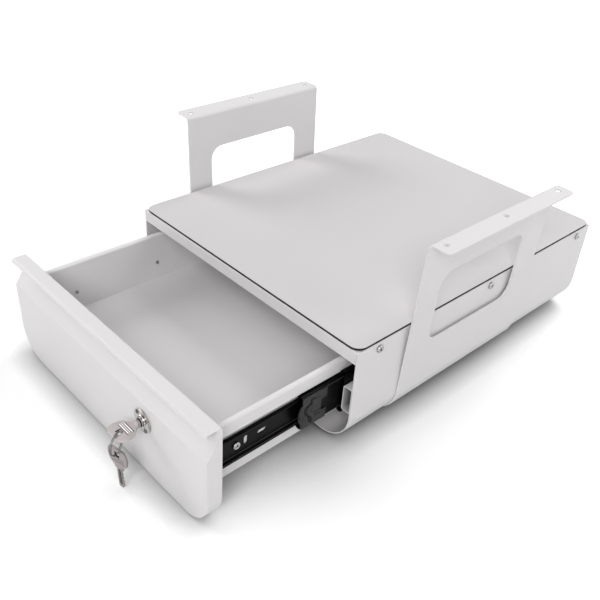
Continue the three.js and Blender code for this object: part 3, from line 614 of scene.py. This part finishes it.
def turnedProfile(bm, points, steps):
    verts = [bm.verts.new((r, 0, z)) for r, z in points]
    edges = [bm.edges.new(pair) for pair in zip(verts, verts[1:])]
    bmesh.ops.spin(bm, geom=verts + edges, cent=(0, 0, 0), axis=(0, 0, 1), angle=math.tau, steps=steps,
                   use_merge=True, use_duplicate=False)
    bmesh.ops.remove_doubles(bm, verts=bm.verts, dist=meshCleaning["spunMergeMm"] * mm)
    bmesh.ops.recalc_face_normals(bm, faces=bm.faces)


def stoodOn(bm, seat, axis):
    turn = Vector((0, 0, 1)).rotation_difference(Vector(axis)).to_matrix().to_4x4()
    bmesh.ops.transform(bm, matrix=Matrix.Translation(seat) @ turn, verts=bm.verts)


# Lock: rosette with a raised collar, and a plug whose nose has a groove

lockDetail = {
    # points are radius and height from the fascia, and the groove is its radius, start and end, in mm
    "rosette": ((5.35, -20.1), (8.0, -20.1), (8.0, 0.3), (13.2, 0.3), (13.5, 0.6), (13.5, 1.1), (13.25, 1.4),
                (12.6, 1.62), (10.5, 1.95), (8.6, 2.1), (7.7, 2.0), (7.35, 2.1), (7.15, 2.5), (6.9, 2.75),
                (6.5, 2.86), (5.9, 2.86), (5.5, 2.7), (5.35, 2.4), (5.35, -20.1)),
    "plug": ((0, -20.7), (5.2, -20.7), (5.2, 4.0), (5.0, 4.2), (3.9, 4.25), (3.9, 5.5), (5.0, 5.55),
             (5.2, 5.75), (5.2, 7.15), (5.1, 7.4), (4.8, 7.6), (4.4, 7.7), (0, 7.7)),
    "groove": (4.9, 4.1, 5.65),
    "steps": 72,
    "smoothDegrees": 24,
}


def turnedLock(node, points, material, seat):
    bm = bmesh.new()
    turnedProfile(bm, [(r * mm, z * mm) for r, z in points], lockDetail["steps"])
    stoodOn(bm, seat, (0, -1, 0))
    return objectFrom(bm, node + "_skin", material, nodeBody[node], [node],
                      lockDetail["smoothDegrees"])


# painted shade in the groove round the nose
def shadeInGroove(piece, seat):
    radius, near, far = [size * mm for size in lockDetail["groove"]]
    piece.data.materials.append(paintedShade)
    for face in piece.data.polygons:
        out = seat - face.center
        if near < out.y < far and math.hypot(out.x, out.z) < radius:
            face.material_index = 1


lockLow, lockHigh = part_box("lock_body")
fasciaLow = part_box("drawer_fascia")[0]
lockSeat = Vector(((lockLow[0] + lockHigh[0]) / 2, fasciaLow[1], (lockLow[2] + lockHigh[2]) / 2))
turnedLock("lock_body", lockDetail["rosette"], chromePlate, lockSeat)
# the plug, with painted shade in its groove
shadeInGroove(turnedLock("lock_plug", lockDetail["plug"], chromePlate, lockSeat), lockSeat)
print("lock turned")

# Keys: ridges on the bow with a painted highlight, painted shade in lines beside them and in the slot, and
# painted shade along milled lines on the blade

keyDetail = {
    "edge": 0.14,
    "halfSheet": 1.0,
    # how far the slot reaches across from the middle, and from where to where along, in mm
    "slot": (3.4, 4.4, 10.8),
    # a line is a radius, then places across from the middle and along from the bow's tip, in mm
    "ridges": ((0.62, (-7.6, 12.8), (7.6, 12.8)), (0.5, (-7.6, 14.9), (7.6, 14.9)),
               (0.62, (-7.6, 17.0), (7.6, 17.0))),
    # painted shade beside the ridges
    "shadeBesideRidges": ((0.32, (-8.2, 11.7), (8.2, 11.7)), (0.32, (-7.8, 13.95), (7.8, 13.95)),
                   (0.32, (-7.8, 15.85), (7.8, 15.85)), (0.4, (-8.2, 18.1), (8.2, 18.1))),
    # painted shade along the blade's milled lines
    "millingShade": ((0.5, (-1.2, 25.4), (-1.2, 45.0)), (0.3, (0.8, 26.5), (0.8, 44.0))),
    # how the spare key leans as it hangs, and how far its tip stands above the hinge in mm
    "spareTiltDegrees": 4.0,
    "spareTip": 5.5,
}


# where a key lies: its bow's tip, the way the blade points, and the way its face looks
def keyPlaces():
    low, high = [Vector(corner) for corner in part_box("lock_key")]
    middle = (low + high) / 2
    yield "lock_key", Vector((middle.x, low.y, middle.z)), Vector((0, 1, 0)), Vector((0, 0, 1))
    joints = frame["record"]["behaviour"]["joints"]
    hinge = next(joint for joint in joints if joint["name"] == "spare_swing")
    facing = Vector(hinge["axis"]).normalized()
    tilt = math.radians(keyDetail["spareTiltDegrees"])
    down = Vector((-facing.y, facing.x, 0)) * math.sin(tilt) - Vector((0, 0, 1)) * math.cos(tilt)
    yield "spare_key", Vector(hinge["pos_m"]) - down * keyDetail["spareTip"] * mm, down, facing


def linesOnKey(node, tip, along, facing, kind, material):
    across = along.cross(facing)
    surfaceAt = tip + facing * keyDetail["halfSheet"] * mm
    bm = bmesh.new()
    for radius, *places in keyDetail[kind]:
        barAlong(bm, [surfaceAt + (across * x + along * y) * mm for x, y in places], radius * mm, 8)
    objectFrom(bm, node + "_" + kind, material, nodeBody[node])


# the cut faces of the slot get painted shade
def shadeInSlot(piece, tip, along, facing):
    piece.data.materials.append(paintedShade)
    reach, near, far = [size * mm for size in keyDetail["slot"]]
    across = along.cross(facing)
    for face in piece.data.polygons:
        place = face.center - tip
        within = abs(place.dot(across)) < reach and near < place.dot(along) < far
        if within and abs(face.normal.dot(facing)) < 0.5:
            face.material_index = 1


# the spare key's darker plate and the dark lines on the keys are painted shade
keyFinish = {"lock_key": (keyNickel, "shadeBesideRidges"), "spare_key": (spareKeyShade, "millingShade")}
for node, tip, along, facing in keyPlaces():
    finish, shadeLines = keyFinish[node]
    shadeInSlot(softened(node, finish, keyDetail["edge"]), tip, along, facing)
    linesOnKey(node, tip, along, facing, shadeLines, paintedShade)
    if node == "lock_key":
        # the ridges, with their painted highlight
        linesOnKey(node, tip, along, facing, "ridges", ridgeHighlight)

# Key ring: one length of wire wound twice, with its step between the windings

ringDetail = {
    # in mm
    "radius": 11.5,
    "wire": 0.4,
    "apart": 0.68,
    # the ring's turn about the upright, how much of a winding its step takes, and where the wire starts
    "turnDegrees": 30.0,
    "stepDegrees": 32.0,
    "startDegrees": 200.0,
    "steps": 150,
}


def splitRing():
    low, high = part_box("key_ring")
    centre = (Vector(low) + Vector(high)) / 2
    turn = math.radians(ringDetail["turnDegrees"])
    along = Vector((math.sin(turn), -math.cos(turn), 0))
    axis = Vector((math.cos(turn), math.sin(turn), 0))
    step, start = math.radians(ringDetail["stepDegrees"]), math.radians(ringDetail["startDegrees"])
    points = []
    for k in range(ringDetail["steps"] + 1):
        angle = (2 * math.tau - step) * k / ringDetail["steps"]
        share = min(max((angle - math.tau + step) / step, 0), 1)
        side = ringDetail["apart"] * (2 * share * share * (3 - 2 * share) - 1)
        spoke = along * math.cos(angle + start) + Vector((0, 0, 1)) * math.sin(angle + start)
        points.append(centre + (spoke * ringDetail["radius"] + axis * side) * mm)
    bm = bmesh.new()
    barAlong(bm, points, ringDetail["wire"] * mm, 12)
    objectFrom(bm, "key_ring_wire", wireSteel, nodeBody["key_ring"], ["key_ring"])


splitRing()
print("keys and ring made")

# Screws with the crossed recess of their driver

screwDetail = {
    # kind: head, rise, shank and length in mm
    "cover": (4.45, 2.4, 2.0, 7.0),
    "rail": (4.2, 2.0, 1.9, 4.5),
    "rosette": (2.2, 1.0, 1.2, 5.0),
    "foot": (4.0, 1.7, 2.0, 5.0),
}
# shares of the head's radius and rise
crossRecess = {"reach": 0.56, "bar": 0.14, "deep": 0.6, "flatDeep": 0.8, "taper": 0.55}
panHead = {"seat": 0.96, "flat": 0.7, "foot": 0.35, "crownDegrees": (0, 20, 40, 60, 78, 90)}
flatHead = {"edgeMm": 0.1, "flat": 0.75}


# closes the open end of a turned head with a crossed recess
def crossedEnd(bm, head, height, deep):
    reach, bar = head * crossRecess["reach"], head * crossRecess["bar"]
    loop = []
    for quarter in range(4):
        turn = Matrix.Rotation(-quarter * math.pi / 2, 2)
        loop += [turn @ Vector(corner) for corner in ((bar, reach), (bar, bar), (reach, bar))]
    rim = [e for e in bm.edges if e.is_boundary]
    upper = [bm.verts.new((x, y, height)) for x, y in loop]
    taper = crossRecess["taper"]
    lower = [bm.verts.new((x * taper, y * taper, height - deep)) for x, y in loop]
    rim += [bm.edges.new((upper[i - 1], upper[i])) for i in range(len(upper))]
    bmesh.ops.triangle_fill(bm, use_beauty=True, edges=rim)
    for i in range(len(upper)):
        bm.faces.new((upper[i - 1], upper[i], lower[i], lower[i - 1]))
    bm.faces.new(lower)
    bmesh.ops.recalc_face_normals(bm, faces=bm.faces)


# about the Z axis, the underside of a pan head or the face of a flat head at zero
def crossedScrew(kind, steps=40):
    head, rise, shank, length = [size * mm for size in screwDetail[kind]]
    bm = bmesh.new()
    if kind == "foot":
        turnedProfile(bm, [(0, -length), (shank, -length), (shank, -rise), (head, -flatHead["edgeMm"] * mm),
                           (head, 0), (head * flatHead["flat"], 0)], steps)
        crossedEnd(bm, head, 0, rise * crossRecess["flatDeep"])
        return bm
    flat, foot = panHead["flat"], panHead["foot"]
    crown = [(head * (flat + (1 - flat) * math.cos(a)), rise * (foot + (1 - foot) * math.sin(a)))
             for a in [math.radians(d) for d in panHead["crownDegrees"]]]
    seat = head * panHead["seat"]
    turnedProfile(bm, [(0, -length), (shank, -length), (shank, 0), (seat, 0), *crown], steps)
    crossedEnd(bm, head, rise, rise * crossRecess["deep"])
    return bm


def screwAt(node, kind, axis):
    low, high = [Vector(corner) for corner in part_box(node)]
    outward = Vector(axis)
    reach = (high - low).dot(Vector([abs(c) for c in axis])) / 2
    rise = 0 if kind == "foot" else screwDetail[kind][1]
    bm = crossedScrew(kind)
    stoodOn(bm, (low + high) / 2 + outward * (reach - rise * mm), axis)
    finish = darkZinc if kind == "rosette" else zincPlate
    objectFrom(bm, node + "_cross", finish, nodeBody[node], [node])


for side, hand in (("left", -1), ("right", 1)):
    for place in ("front", "middle", "rear"):
        screwAt(side + "_cover_screw_" + place, "cover", (hand, 0, 0))
    for place in ("front", "rear"):
        screwAt(side + "_rail_screw_" + place, "rail", (hand, 0, 0))
        screwAt(side + "_foot_screw_" + place, "foot", (0, 0, -1))
for place in ("upper", "lower"):
    screwAt("rosette_screw_" + place, "rosette", (0, -1, 0))
print("screws made")
